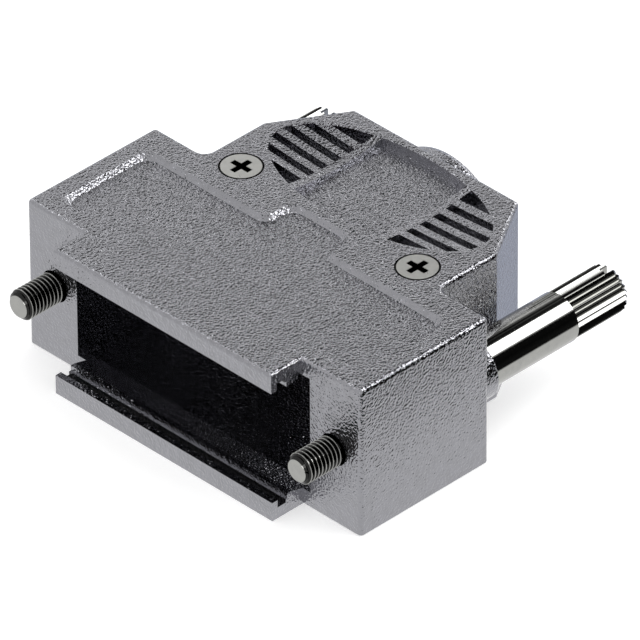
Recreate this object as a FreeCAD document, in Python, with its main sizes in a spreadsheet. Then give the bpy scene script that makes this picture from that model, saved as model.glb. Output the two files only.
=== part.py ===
"""Metal hood for a 15-way D-sub connector: two cast half shells, two captive jackscrews and a cable clamp.

Frame, in millimetres: X runs along the connector's width, +Y from the mating side to the cable, +Z up.
The origin lies on the bottom face, on the centre plane, in the plane of the side blocks' front faces.
"""
import FreeCAD, Part
import os
import re
import Sketcher
from FreeCAD import Vector

doc = FreeCAD.newDocument("hood")

# Driving dimensions, in millimetres
SIZES = {
    # outline of the two shells together
    "body_width": 39.76,
    "body_height": 14.85,
    "block_depth": 15.1,
    "neck_width": 27.84,
    "neck_end": 22.1,
    "rear_width": 19.5,
    "body_length": 28.94,
    "corner_round": 0.4,
    "notch_round": 1.0,
    "edge_round": 0.42,
    "bottom_chamfer": 0.15,
    # walls and hollow
    "floor_thickness": 1.3,
    "neck_roof": 2.4,
    "neck_wall": 1.4,
    "rear_wall": 1.6,
    "window_width": 27.9,
    "bay_end": 13.4,
    # lips that hold the connector's flange
    "lip_width": 26.0,
    "lip_reach": 3.55,
    "lip_plate": 1.12,
    "lip_wall": 0.65,
    "lip_wall_rise": 0.73,
    "groove_width": 0.92,
    "ledge_width": 0.2,
    "ledge_rise": 0.33,
    "ridge_width": 0.45,
    "ridge_rise": 0.84,
    "ramp_end": 1.2,
    # tongue and rebate along the parting line
    "tongue_start": 18.7,
    "tongue_end": 26.4,
    "tongue_thickness": 0.6,
    "tongue_rise": 0.7,
    "tongue_gap": 0.08,
    # jackscrews
    "screw_spacing": 33.32,
    "thread_radius": 1.42,
    "screw_tip": 4.27,
    "tip_chamfer": 0.4,
    "thread_end": 0.1,
    "relief_radius": 1.1,
    "stem_start": 3.2,
    "front_wall": 3.0,
    "stem_gap": 0.08,
    "shank_radius": 2.35,
    "shank_chamfer": 0.2,
    "shank_gap": 0.05,
    "screw_end": 33.0,
    "end_chamfer": 0.3,
    "knurl_length": 6.25,
    "flute_count": 26,
    "flute_width": 0.26,
    "flute_depth": 0.18,
    "slot_width": 0.9,
    "slot_depth": 1.0,
    "boss_radius": 2.9,
    "boss_length": 1.7,
    "boss_chamfer": 0.2,
    # retaining rings on the jackscrews
    "ring_start": 4.6,
    "ring_thickness": 0.5,
    "ring_radius": 2.1,
    "ring_groove": 1.0,
    "ring_gap": 0.05,
    "ring_mouth": 1.6,
    "pocket_gap": 0.15,
    "screw_travel": 4.0,
    # cable entry
    "collar_inset": 0.425,
    "collar_length": 1.6,
    "collar_round": 0.6,
    "entry_radius": 4.4,
    # screws that hold the shells together
    "shell_screw_across": 21.0,
    "shell_screw_back": 16.1,
    "shell_screw_length": 9.6,
    "shell_head_radius": 1.86,
    "shell_head_rim": 0.25,
    "shell_seat_gap": 0.1,
    "shell_thread_radius": 1.0,
    "shell_screw_gap": 0.03,
    "shell_clear_gap": 0.1,
    "shell_post_radius": 2.3,
    "blind_depth": 0.6,
    "cross_length": 2.12,
    "cross_width": 0.6,
    "cross_depth": 0.9,
    # cable clamp
    "clamp_back": 23.6,
    "clamp_post_radius": 1.9,
    "clamp_drop": 1.025,
    "saddle_width": 5.0,
    "saddle_thickness": 1.0,
    "saddle_ear": 2.0,
    "saddle_headroom": 0.425,
    "cradle_rib": 0.9,
    "cradle_rib_spacing": 2.2,
    "cradle_drop": 1.425,
    "clamp_thread_radius": 1.25,
    "clamp_screw_gap": 0.03,
    "clamp_hole_gap": 0.12,
    "clamp_head_radius": 2.25,
    "clamp_head_height": 1.5,
    "clamp_head_gap": 0.15,
    "clamp_screw_length": 4.2,
    "clamp_slot_width": 0.6,
    "clamp_slot_depth": 0.7,
    # sunk field in the top, with a tab towards the neck
    "field_width": 35.8,
    "field_start": 1.8,
    "field_end": 12.3,
    "field_tab_width": 7.4,
    "field_tab_end": 15.5,
    "field_depth": 0.45,
    "field_slope": 0.42,
    "field_corner": 1.2,
    # grilles in a shallow dish, with a sunk panel between them
    "grille_middle": 22.2,
    "grille_half_width": 12.1,
    "grille_half_depth": 5.8,
    "grille_land": 11.6,
    "grille_bar_width": 0.81,
    "grille_bar_pitch": 1.59,
    "grille_bar_count": 5,
    "grille_depth": 1.1,
    "dish_margin": 0.15,
    "dish_depth": 0.58,
    "panel_width": 10.0,
    "panel_depth": 0.82,
}

sheet = doc.addObject("Spreadsheet::Sheet", "Sizes")
for row, (name, size) in enumerate(SIZES.items(), start=1):
    sheet.set("A%d" % row, name)
    sheet.set("B%d" % row, str(size))
    sheet.setAlias("B%d" % row, name)
doc.recompute()

# Sizes that follow from the driving ones
PARTING = "body_height / 2"
CHAMFER_RUN = "((neck_width - rear_width) / 2 / (body_length - neck_end))"
CHAMFER_SKEW = "sqrt(1 + %s ^ 2)" % CHAMFER_RUN
SCREW_ACROSS = "screw_spacing / 2"
STEM_HOLE = "(thread_radius + stem_gap)"
SHOULDER = "(block_depth + boss_length)"
RING_POCKET_RADIUS = "(ring_radius + pocket_gap)"
RING_POCKET_END = "(ring_start + ring_thickness + screw_travel + shank_gap)"
NECK_CEILING = "(body_height - neck_roof)"
ENTRY_END = "(body_length + collar_length)"
CLAMP_POST_TOP = "(body_height / 2 - clamp_drop)"
SADDLE_TOP = "(%s + saddle_thickness)" % CLAMP_POST_TOP
CRADLE_RADIUS = "(body_height / 2 - neck_roof - saddle_headroom - saddle_thickness)"
CLAMP_ACROSS = "(%s + saddle_thickness + clamp_head_gap + clamp_head_radius)" % CRADLE_RADIUS
SADDLE_END = "(%s + saddle_ear)" % CLAMP_ACROSS
DISH_HALF_WIDTH = "(grille_half_width + dish_margin)"
DISH_HALF_DEPTH = "(grille_half_depth + dish_margin)"

XY, XZ, YZ = "XY_Plane", "XZ_Plane", "YZ_Plane"


def bound(expression):
    """The expression with each size read from the sheet."""
    return re.sub(r"[a-z]+(_[a-z]+)+", lambda name: "Sizes." + name.group(), str(expression))


def number(expression):
    """The present value of an expression in millimetres."""
    return float(sheet.evalExpression(str(expression)))


def bind(item, **expressions):
    """Tie properties to expressions; a double underscore in a name stands for a dot."""
    for name, expression in expressions.items():
        item.setExpression(name.replace("__", "."), bound(expression))


def new_body(label):
    body = doc.addObject("PartDesign::Body", label)
    body.Label = label
    return body


def new_sketch(body, name, plane, offset=("0", "0", "0")):
    """A sketch on one of the body's own origin planes, moved by an offset in the sketch's axes."""
    sketch = body.newObject("Sketcher::SketchObject", name)
    origin_plane = next(item for item in body.Origin.OriginFeatures if item.Role == plane)
    sketch.AttachmentSupport = [(origin_plane, "")]
    sketch.MapMode = "FlatFace"
    along, up, out = offset
    bind(sketch, AttachmentOffset__Base__x=along, AttachmentOffset__Base__y=up, AttachmentOffset__Base__z=out)
    return sketch


def pin_point(sketch, geometry, point, across, up):
    """Tie a point of the sketch to its two coordinates."""
    for kind, expression in (("DistanceX", across), ("DistanceY", up)):
        constraint = Sketcher.Constraint(kind, -1, 1, geometry, point, number(expression))
        index = sketch.addConstraint(constraint)
        sketch.setExpression("Constraints[%d]" % index, bound(expression))


def draw_polygon(sketch, corners):
    """A closed outline of straight lines through corners given as pairs of expressions."""
    points = [Vector(number(across), number(up), 0) for across, up in corners]
    first = sketch.GeometryCount
    for start, end in zip(points, points[1:] + points[:1]):
        sketch.addGeometry(Part.LineSegment(start, end))
    for step in range(len(points)):
        following = first + (step + 1) % len(points)
        sketch.addConstraint(Sketcher.Constraint("Coincident", first + step, 2, following, 1))
    for step, (across, up) in enumerate(corners):
        pin_point(sketch, first + step, 1, across, up)


def draw_rectangle(sketch, left, low, right, high):
    draw_polygon(sketch, [(left, low), (right, low), (right, high), (left, high)])


def draw_circle(sketch, across, up, radius):
    centre = Vector(number(across), number(up), 0)
    circle = sketch.addGeometry(Part.Circle(centre, Vector(0, 0, 1), number(radius)))
    pin_point(sketch, circle, 3, across, up)
    index = sketch.addConstraint(Sketcher.Constraint("Radius", circle, number(radius)))
    sketch.setExpression("Constraints[%d]" % index, bound(radius))


def draw_rounded(sketch, corners, radius):
    """A closed outline of lines along the sketch's axes, every corner rounded by the same radius."""
    points = [Vector(number(across), number(up), 0) for across, up in corners]
    count = len(points)
    arrivals, departures, left_turns = [], [], []
    for step, corner in enumerate(points):
        back = (points[step - 1] - corner).normalize()
        ahead = (points[(step + 1) % count] - corner).normalize()
        for ends, way in ((arrivals, back), (departures, ahead)):
            ends.append(tuple("(%s) + (%d) * (%s)" % (place, round(sign), radius)
                              for place, sign in zip(corners[step], way)))
        left_turns.append(ahead.cross(back).z > 0)
    for step, corner in enumerate(points):
        arrive, leave, following = (Vector(number(across), number(up), 0) for across, up in
                                    (arrivals[step], departures[step], arrivals[(step + 1) % count]))
        centre = arrive + leave - corner
        middle = centre + (corner - centre).normalize() * number(radius)
        start, end = (arrive, leave) if left_turns[step] else (leave, arrive)
        arc = sketch.addGeometry(Part.Arc(start, middle, end))
        sketch.addGeometry(Part.LineSegment(leave, following))
        index = sketch.addConstraint(Sketcher.Constraint("Radius", arc, number(radius)))
        sketch.setExpression("Constraints[%d]" % index, bound(radius))
    for step in range(count):
        arc, line = 2 * step, 2 * step + 1
        next_step = (step + 1) % count
        leaving_end = 2 if left_turns[step] else 1
        arriving_end = 1 if left_turns[next_step] else 2
        sketch.addConstraint(Sketcher.Constraint("Coincident", arc, leaving_end, line, 1))
        sketch.addConstraint(Sketcher.Constraint("Coincident", line, 2, 2 * next_step, arriving_end))
        pin_point(sketch, line, 1, *departures[step])
        pin_point(sketch, line, 2, *arrivals[next_step])


def extrude(body, kind, sketch, length, both_ways=False, backwards=False):
    """Pad or Pocket; backwards points it the other way from the default."""
    feature = body.newObject("PartDesign::" + kind, sketch.Name + "_" + kind.lower())
    feature.Profile = sketch
    feature.SideType = "Symmetric" if both_ways else "One side"
    feature.Reversed = backwards
    bind(feature, Length=length)
    doc.recompute()
    return feature


def turn(body, kind, sketch, axis="V_Axis"):
    """Revolution or Groove all the way round one of the sketch's axes."""
    feature = body.newObject("PartDesign::" + kind, sketch.Name + "_" + kind.lower())
    feature.Profile = sketch
    feature.ReferenceAxis = (sketch, [axis])
    feature.Angle = 360
    doc.recompute()
    return feature


def edges_of(feature, chosen):
    """Names of the feature's edges that pass the test."""
    return ["Edge%d" % place for place, edge in enumerate(feature.Shape.Edges, start=1) if chosen(edge)]


def dress_edges(body, kind, name, base, chosen, size):
    """Fillet of a radius or Chamfer of a size on the chosen edges."""
    feature = body.newObject("PartDesign::" + kind, name)
    feature.Base = (base, edges_of(base, chosen))
    bind(feature, **{"Radius" if kind == "Fillet" else "Size": size})
    doc.recompute()
    return feature


def is_upright(edge, across, back):
    """Whether an edge runs along Z through a place, on either side of the centre plane."""
    middle, span = edge.CenterOfMass, edge.BoundBox
    upright = span.XLength < 1e-6 and span.YLength < 1e-6
    return upright and abs(abs(middle.x) - number(across)) < 1e-4 and abs(middle.y - number(back)) < 1e-4


def is_level(edge, height):
    return abs(edge.BoundBox.ZMin - number(height)) < 1e-5 and abs(edge.BoundBox.ZMax - number(height)) < 1e-5


def outline_of_shells(body):
    """The outer block: side blocks, neck, chamfered rear and the two lips, with its edges dressed."""
    sketch = new_sketch(body, "outline", XY)
    half = [("body_width / 2", "0"), ("body_width / 2", "block_depth"), ("neck_width / 2", "block_depth"),
            ("neck_width / 2", "neck_end"), ("rear_width / 2", "body_length")]
    front = [("lip_width / 2", "-lip_reach"), ("lip_width / 2", "0")]
    right = front + half
    left = [("-(%s)" % across, back) for across, back in reversed(right)]
    draw_polygon(sketch, right + left)
    block = extrude(body, "Pad", sketch, "body_height")
    corners = [("body_width / 2", "0"), ("body_width / 2", "block_depth"), ("neck_width / 2", "neck_end"),
               ("rear_width / 2", "body_length")]
    block = dress_edges(body, "Fillet", "outer_corners", block,
                        lambda edge: any(is_upright(edge, *corner) for corner in corners), "corner_round")
    block = dress_edges(body, "Fillet", "notches", block,
                        lambda edge: is_upright(edge, "neck_width / 2", "block_depth"), "notch_round")
    block = dress_edges(body, "Chamfer", "bottom_rim", block,
                        lambda edge: is_level(edge, "0") and edge.BoundBox.YMin > -1e-6, "bottom_chamfer")
    dress_edges(body, "Fillet", "top_rim", block, lambda edge: is_level(edge, "body_height"), "edge_round")


def mouth(body):
    """The opening between the lips and the bay behind it, with the flange groove and ridge in each lip."""
    sketch = new_sketch(body, "mouth", YZ)
    groove_start = "(lip_wall - lip_reach)"
    ledge_start = "(%s + groove_width)" % groove_start
    ridge_start = "(%s + ledge_width)" % ledge_start
    lower = [("-2 * lip_reach", "lip_plate + lip_wall_rise"),
             (groove_start, "lip_plate + lip_wall_rise"),
             (groove_start, "lip_plate"),
             (ledge_start, "lip_plate"),
             (ledge_start, "lip_plate + ledge_rise"),
             (ridge_start, "lip_plate + ledge_rise"),
             (ridge_start, "lip_plate + ridge_rise"),
             (ridge_start + " + ridge_width", "lip_plate + ridge_rise"),
             ("ramp_end", "floor_thickness"),
             ("bay_end", "floor_thickness")]
    upper = [(back, "body_height - (%s)" % height) for back, height in reversed(lower)]
    draw_polygon(sketch, lower + upper)
    extrude(body, "Pocket", sketch, "window_width", both_ways=True)


def inset_neck(inset, back):
    """Half width of the neck's chamfer line, moved inwards by an inset, at a place along Y."""
    return "neck_width / 2 - (%s - neck_end) * %s - (%s) * %s" % (back, CHAMFER_RUN, inset, CHAMFER_SKEW)


def inset_knee(inset):
    """Place along Y where the neck's side meets its chamfer, both moved inwards by an inset."""
    return "neck_end - (%s) * (%s - 1) / %s" % (inset, CHAMFER_SKEW, CHAMFER_RUN)


def neck_hollow(body):
    sketch = new_sketch(body, "neck_hollow", XY, ("0", "0", "floor_thickness"))
    rear = "body_length - rear_wall"
    right = [("neck_width / 2 - neck_wall", "bay_end - 1"),
             ("neck_width / 2 - neck_wall", inset_knee("neck_wall")),
             (inset_neck("neck_wall", "(%s)" % rear), rear)]
    left = [("-(%s)" % across, back) for across, back in reversed(right)]
    draw_polygon(sketch, right + left)
    extrude(body, "Pocket", sketch, "%s - floor_thickness" % NECK_CEILING, backwards=True)


def chamfered_rim(radius, end, cut):
    """Two corners that bevel a round end at 45 degrees."""
    return [(radius, "%s - %s" % (end, cut)), ("%s - %s" % (radius, cut), end)]


def rounded_rim(radius, end, rounding):
    """Three corners that follow a quarter round at the end in two flats."""
    lean = "%s * (1 - sqrt(0.5))" % rounding
    return [(radius, "%s - %s" % (end, rounding)), ("%s - %s" % (radius, lean), "%s - %s" % (end, lean)),
            ("%s - %s" % (radius, rounding), end)]


def turned_boss(body, name, across, start, rim):
    """A round boss about an axis along Y at the parting line; rim lists the corners of its far end."""
    sketch = new_sketch(body, name, XY, (across, "0", PARTING))
    draw_polygon(sketch, [("0", start), (rim[0][0], start)] + rim + [("0", rim[-1][1])])
    turn(body, "Revolution", sketch)


def jackscrew_channel(body, name, side):
    """The stepped channel of one jackscrew: hole in the front wall, ring pocket, hole through the boss."""
    sketch = new_sketch(body, name, XY, ("%d * %s" % (side, SCREW_ACROSS), "0", PARTING))
    draw_polygon(sketch, [("0", "-1"), (STEM_HOLE, "-1"), (STEM_HOLE, "front_wall"),
                          (RING_POCKET_RADIUS, "front_wall"), (RING_POCKET_RADIUS, RING_POCKET_END),
                          (STEM_HOLE, RING_POCKET_END), (STEM_HOLE, SHOULDER + " + 1"),
                          ("0", SHOULDER + " + 1")])
    turn(body, "Groove", sketch)


def shell_screw_hole(body, name, side):
    """Head seat and clearance hole above the parting line, tapped blind hole below it."""
    sketch = new_sketch(body, name, XZ, ("%d * shell_screw_across / 2" % side, "0", "-shell_screw_back"))
    cone_foot = "body_height - shell_head_rim - shell_head_radius - shell_screw_gap"
    clear = "(shell_thread_radius + shell_clear_gap)"
    tapped = "(shell_thread_radius + shell_screw_gap)"
    seat = "(shell_head_radius + shell_seat_gap)"
    bottom = "body_height - shell_screw_length - blind_depth"
    draw_polygon(sketch, [("0", bottom), (tapped, bottom), (tapped, PARTING), (clear, PARTING),
                          (clear, "%s + %s" % (cone_foot, clear)), (seat, "%s + %s" % (cone_foot, seat)),
                          (seat, "body_height + 1"), ("0", "body_height + 1")])
    turn(body, "Groove", sketch)


def clamp_seat(body):
    """Two tapped posts for the clamp's screws and a pair of cradle ribs between them."""
    posts = new_sketch(body, "clamp_posts", XY, ("0", "0", "floor_thickness / 2"))
    for side in (-1, 1):
        draw_circle(posts, "%d * %s" % (side, CLAMP_ACROSS), "clamp_back", "clamp_post_radius")
    extrude(body, "Pad", posts, "%s - floor_thickness / 2" % CLAMP_POST_TOP)
    ribs = new_sketch(body, "cradle_ribs", XY, ("0", "0", "floor_thickness / 2"))
    for side in (-1, 1):
        middle = "clamp_back + (%d) * cradle_rib_spacing / 2" % side
        draw_rectangle(ribs, "-" + CLAMP_ACROSS, middle + " - cradle_rib / 2",
                       CLAMP_ACROSS, middle + " + cradle_rib / 2")
    extrude(body, "Pad", ribs, "%s - cradle_drop - floor_thickness / 2" % PARTING)
    cradle = new_sketch(body, "cradle", XZ, ("0", "0", "-clamp_back"))
    draw_circle(cradle, "0", PARTING, CRADLE_RADIUS)
    extrude(body, "Pocket", cradle, "cradle_rib_spacing + 2 * cradle_rib", both_ways=True)
    holes = new_sketch(body, "clamp_holes", XY, ("0", "0", CLAMP_POST_TOP))
    for side in (-1, 1):
        draw_circle(holes, "%d * %s" % (side, CLAMP_ACROSS), "clamp_back",
                    "clamp_thread_radius + clamp_screw_gap")
    extrude(body, "Pocket", holes, "clamp_screw_length - saddle_thickness + blind_depth / 2")


def top_field(body):
    """The shallow sunk field in the top: its wall slopes down all round to a smaller floor."""
    def draw_field(name, height, inset):
        sketch = new_sketch(body, name, XY, ("0", "0", height))
        across, tab = "(field_width / 2 - %s)" % inset, "(field_tab_width / 2 - %s)" % inset
        low, high = "field_start + " + inset, "field_end - " + inset
        tab_end = "field_tab_end - " + inset
        draw_rounded(sketch, [("-" + across, low), (across, low), (across, high), (tab, high), (tab, tab_end),
                              ("-" + tab, tab_end), ("-" + tab, high), ("-" + across, high)], "field_corner")
        return sketch
    floor = draw_field("field_floor", "body_height - field_depth", "field_slope")
    rim = draw_field("field_rim", "body_height", "0")
    loft = body.newObject("PartDesign::SubtractiveLoft", "field")
    loft.Profile = floor
    loft.Sections = [rim]
    loft.Ruled = True
    doc.recompute()


def grille_dish(body):
    """A shallow dish in the neck's top, turned about a far axis along Y: curved both ways, oval at its edge."""
    width_round, depth_round = ("((%s ^ 2 + dish_depth ^ 2) / (2 * dish_depth))" % half
                                for half in (DISH_HALF_WIDTH, DISH_HALF_DEPTH))
    sketch = new_sketch(body, "dish", YZ, ("grille_middle", "body_height - dish_depth + " + width_round, "0"))
    edge, low = "(dish_depth - %s)" % width_round, "(-%s)" % width_round
    ends = [("-" + DISH_HALF_DEPTH, edge), (DISH_HALF_DEPTH, edge)]
    left, bottom, right = (Vector(number(along), number(up), 0) for along, up in (ends[0], ("0", low), ends[1]))
    arc = sketch.addGeometry(Part.Arc(left, bottom, right))
    chord = sketch.addGeometry(Part.LineSegment(right, left))
    for start, end in ((arc, chord), (chord, arc)):
        sketch.addConstraint(Sketcher.Constraint("Coincident", start, 2, end, 1))
    for point, place in zip((1, 2), ends):
        pin_point(sketch, arc, point, *place)
    index = sketch.addConstraint(Sketcher.Constraint("Radius", arc, number(depth_round)))
    sketch.setExpression("Constraints[%d]" % index, bound(depth_round))
    turn(body, "Groove", sketch, "H_Axis")


def build_hood_form():
    """Both shells as one solid, before they are parted."""
    body = new_body("hood_form")
    outline_of_shells(body)
    mouth(body)
    neck_hollow(body)
    posts = new_sketch(body, "shell_posts", XY, ("0", "0", "floor_thickness / 2"))
    for side in (-1, 1):
        draw_circle(posts, "%d * shell_screw_across / 2" % side, "shell_screw_back", "shell_post_radius")
    extrude(body, "Pad", posts, "body_height - neck_roof / 2 - floor_thickness / 2")
    turned_boss(body, "collar", "0", "body_length - rear_wall / 2",
                rounded_rim("(%s - collar_inset)" % PARTING, ENTRY_END, "collar_round"))
    for side, name in ((-1, "left_boss"), (1, "right_boss")):
        turned_boss(body, name, "%d * %s" % (side, SCREW_ACROSS), "block_depth - 1",
                    chamfered_rim("boss_radius", SHOULDER, "boss_chamfer"))
    entry = new_sketch(body, "cable_entry", XZ, ("0", "0", "-(%s + 1)" % ENTRY_END))
    draw_circle(entry, "0", PARTING, "entry_radius")
    extrude(body, "Pocket", entry, "collar_length + rear_wall + 2", backwards=True)
    for side, name in ((-1, "left_channel"), (1, "right_channel")):
        jackscrew_channel(body, name, side)
    clamp_seat(body)
    for side, name in ((-1, "left_shell_hole"), (1, "right_shell_hole")):
        shell_screw_hole(body, name, side)
    top_field(body)
    grille_dish(body)
    return body


def build_tongues(label, gap):
    """The two tongues that stand on the lower shell's walls, each larger all round by a gap."""
    body = new_body(label)
    sketch = new_sketch(body, label + "_outline", XY, ("0", "0", PARTING + " - tongue_rise"))
    inner, outer = "neck_wall + " + gap, "neck_wall - tongue_thickness - " + gap
    start, end = "(tongue_start - %s)" % gap, "(tongue_end + %s)" % gap
    right = [("neck_width / 2 - (%s)" % inner, start), ("neck_width / 2 - (%s)" % outer, start),
             ("neck_width / 2 - (%s)" % outer, inset_knee(outer)), (inset_neck(outer, end), end),
             (inset_neck(inner, end), end), ("neck_width / 2 - (%s)" % inner, inset_knee(inner))]
    draw_polygon(sketch, right)
    draw_polygon(sketch, [("-(%s)" % across, back) for across, back in right])
    extrude(body, "Pad", sketch, "2 * tongue_rise + " + gap)
    return body


def build_grille_cutters():
    """Two cuts within one oval: the slots between the grilles' bars, and the panel between the grilles."""
    ellipse = doc.addObject("Part::Ellipse", "grille_ellipse")
    bind(ellipse, MajorRadius="grille_half_width", MinorRadius="grille_half_depth",
         Placement__Base__y="grille_middle", Placement__Base__z="body_height - grille_depth")
    prism = doc.addObject("Part::Extrusion", "grille_prism")
    prism.Base = ellipse
    prism.DirMode = "Custom"
    prism.Dir = Vector(0, 0, 1)
    prism.Solid = True
    bind(prism, LengthFwd="grille_depth + 1")
    bars = new_body("grille_bars")
    land = new_sketch(bars, "grille_land", XY, ("0", "grille_middle", "body_height - grille_depth - 1"))
    draw_rectangle(land, "-grille_land / 2", "-grille_half_depth - 1",
                   "grille_land / 2", "grille_half_depth + 1")
    extrude(bars, "Pad", land, "grille_depth + 3")
    bar = new_sketch(bars, "grille_bar", XY, ("0", "grille_middle", "body_height - grille_depth - 1"))
    first = "(-grille_bar_pitch * (grille_bar_count - 1) / 2)"
    draw_rectangle(bar, "-grille_half_width - 1", first + " - grille_bar_width / 2",
                   "grille_half_width + 1", first + " + grille_bar_width / 2")
    pad = extrude(bars, "Pad", bar, "grille_depth + 3")
    row = bars.newObject("PartDesign::LinearPattern", "grille_bar_row")
    row.Originals = [pad]
    row.Direction = (bar, ["V_Axis"])
    row.Mode = "Spacing"
    bind(row, Offset="grille_bar_pitch", Occurrences="grille_bar_count")
    bars.Tip = row
    doc.recompute()
    panel = doc.addObject("Part::Box", "panel_block")
    bind(panel, Length="panel_width", Width="2 * grille_half_depth + 2", Height="panel_depth + 2",
         Placement__Base__x="-panel_width / 2", Placement__Base__y="grille_middle - grille_half_depth - 1",
         Placement__Base__z="body_height - panel_depth")
    return combine("Cut", "slot_cutter", prism, bars), combine("Common", "panel_cutter", prism, panel)


def half_space(name, upper):
    """A block that holds everything above or below the parting line."""
    block = doc.addObject("Part::Box", name)
    bind(block, Length="2 * body_width", Width="2 * body_length + 2 * lip_reach", Height="body_height",
         Placement__Base__x="-body_width", Placement__Base__y="-2 * lip_reach",
         Placement__Base__z=PARTING if upper else PARTING + " - body_height")
    return block


def combine(kind, name, base, tool):
    result = doc.addObject("Part::" + kind, name)
    result.Base, result.Tool = base, tool
    return result


def build_shells():
    form = build_hood_form()
    tongues = build_tongues("tongues", "0")
    rebates = build_tongues("rebates", "tongue_gap")
    lower = combine("Common", "lower_half", form, half_space("lower_space", False))
    lower = combine("Fuse", "lower_shell", lower, tongues)
    upper = combine("Common", "upper_half", form, half_space("upper_space", True))
    upper = combine("Cut", "upper_half_rebated", upper, rebates)
    slots, panel = build_grille_cutters()
    upper = combine("Cut", "upper_half_slotted", upper, slots)
    upper = combine("Cut", "upper_shell", upper, panel)
    doc.recompute()
    return [lower, upper]


def build_jackscrew(label, side):
    """A captive jackscrew about its own Y axis: thread, relief, stem with ring groove, shank, knurl and slot."""
    body = new_body(label)
    profile = new_sketch(body, label + "_profile", XY)
    groove_end = "ring_start + ring_thickness + ring_gap"
    draw_polygon(profile, [("0", "-screw_tip"), ("thread_radius - tip_chamfer", "-screw_tip"),
                           ("thread_radius", "tip_chamfer - screw_tip"), ("thread_radius", "-thread_end"),
                           ("relief_radius", "-thread_end"), ("relief_radius", "stem_start"),
                           ("thread_radius", "stem_start"), ("thread_radius", "ring_start - ring_gap"),
                           ("ring_groove", "ring_start - ring_gap"), ("ring_groove", groove_end),
                           ("thread_radius", groove_end), ("thread_radius", SHOULDER + " + shank_gap"),
                           ("shank_radius - shank_chamfer", SHOULDER + " + shank_gap"),
                           ("shank_radius", SHOULDER + " + shank_gap + shank_chamfer"),
                           ("shank_radius", "screw_end - end_chamfer"),
                           ("shank_radius - end_chamfer", "screw_end"), ("0", "screw_end")])
    turn(body, "Revolution", profile)
    flute = new_sketch(body, label + "_flute", XZ, ("0", "0", "-(screw_end + 1)"))
    draw_polygon(flute, [("-flute_width", "shank_radius + flute_depth"), ("0", "shank_radius - flute_depth"),
                         ("flute_width", "shank_radius + flute_depth")])
    cut = extrude(body, "Pocket", flute, "knurl_length + 1", backwards=True)
    knurl = body.newObject("PartDesign::PolarPattern", label + "_knurl")
    knurl.Originals = [cut]
    knurl.Axis = (next(item for item in body.Origin.OriginFeatures if item.Role == "Y_Axis"), [""])
    knurl.Angle = 360
    bind(knurl, Occurrences="flute_count")
    body.Tip = knurl
    doc.recompute()
    slot = new_sketch(body, label + "_slot", XZ, ("0", "0", "-(screw_end + 1)"))
    draw_rectangle(slot, "-slot_width / 2", "-2 * shank_radius", "slot_width / 2", "2 * shank_radius")
    extrude(body, "Pocket", slot, "slot_depth + 1", backwards=True)
    bind(body, Placement__Base__x="%d * %s" % (side, SCREW_ACROSS), Placement__Base__z=PARTING)
    return body


def build_retaining_ring(label, side):
    """A flat ring with an open mouth, sprung into the jackscrew's groove."""
    body = new_body(label)
    plate = new_sketch(body, label + "_plate", XZ, ("0", "0", "-ring_start"))
    draw_circle(plate, "0", "0", "ring_radius")
    extrude(body, "Pad", plate, "ring_thickness", backwards=True)
    bore = new_sketch(body, label + "_bore", XZ, ("0", "0", "-ring_start"))
    draw_circle(bore, "0", "0", "ring_groove + ring_gap")
    extrude(body, "Pocket", bore, "ring_thickness")
    opening = new_sketch(body, label + "_mouth", XZ, ("0", "0", "-ring_start"))
    draw_rectangle(opening, "-ring_mouth / 2", "-2 * ring_radius", "ring_mouth / 2", "0")
    extrude(body, "Pocket", opening, "ring_thickness")
    bind(body, Placement__Base__x="%d * %s" % (side, SCREW_ACROSS), Placement__Base__z=PARTING)
    return body


def build_shell_screw(label, side):
    """A countersunk cross-recess screw through the upper shell into the lower shell's post."""
    body = new_body(label)
    profile = new_sketch(body, label + "_profile", XZ)
    cone_low = "-shell_head_rim - shell_head_radius + shell_thread_radius"
    draw_polygon(profile, [("0", "-shell_screw_length"), ("shell_thread_radius", "-shell_screw_length"),
                           ("shell_thread_radius", cone_low), ("shell_head_radius", "-shell_head_rim"),
                           ("shell_head_radius", "0"), ("0", "0")])
    turn(body, "Revolution", profile)
    cross = new_sketch(body, label + "_cross", XY)
    arm, half = "cross_length / 2", "cross_width / 2"
    signs = [(1, 1), (-1, 1), (-1, -1), (1, -1)]
    corners = []
    for place, (east, north) in enumerate(signs):
        along = ("%d * %s" % (east, arm), "%d * %s" % (north, half))
        inner = ("%d * %s" % (east, half), "%d * %s" % (north, half))
        across = ("%d * %s" % (east, half), "%d * %s" % (north, arm))
        corners += [along, inner, across] if place % 2 == 0 else [across, inner, along]
    draw_polygon(cross, corners)
    extrude(body, "Pocket", cross, "cross_depth")
    bind(body, Placement__Base__x="%d * shell_screw_across / 2" % side, Placement__Base__y="shell_screw_back",
         Placement__Base__z="body_height")
    return body


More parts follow.
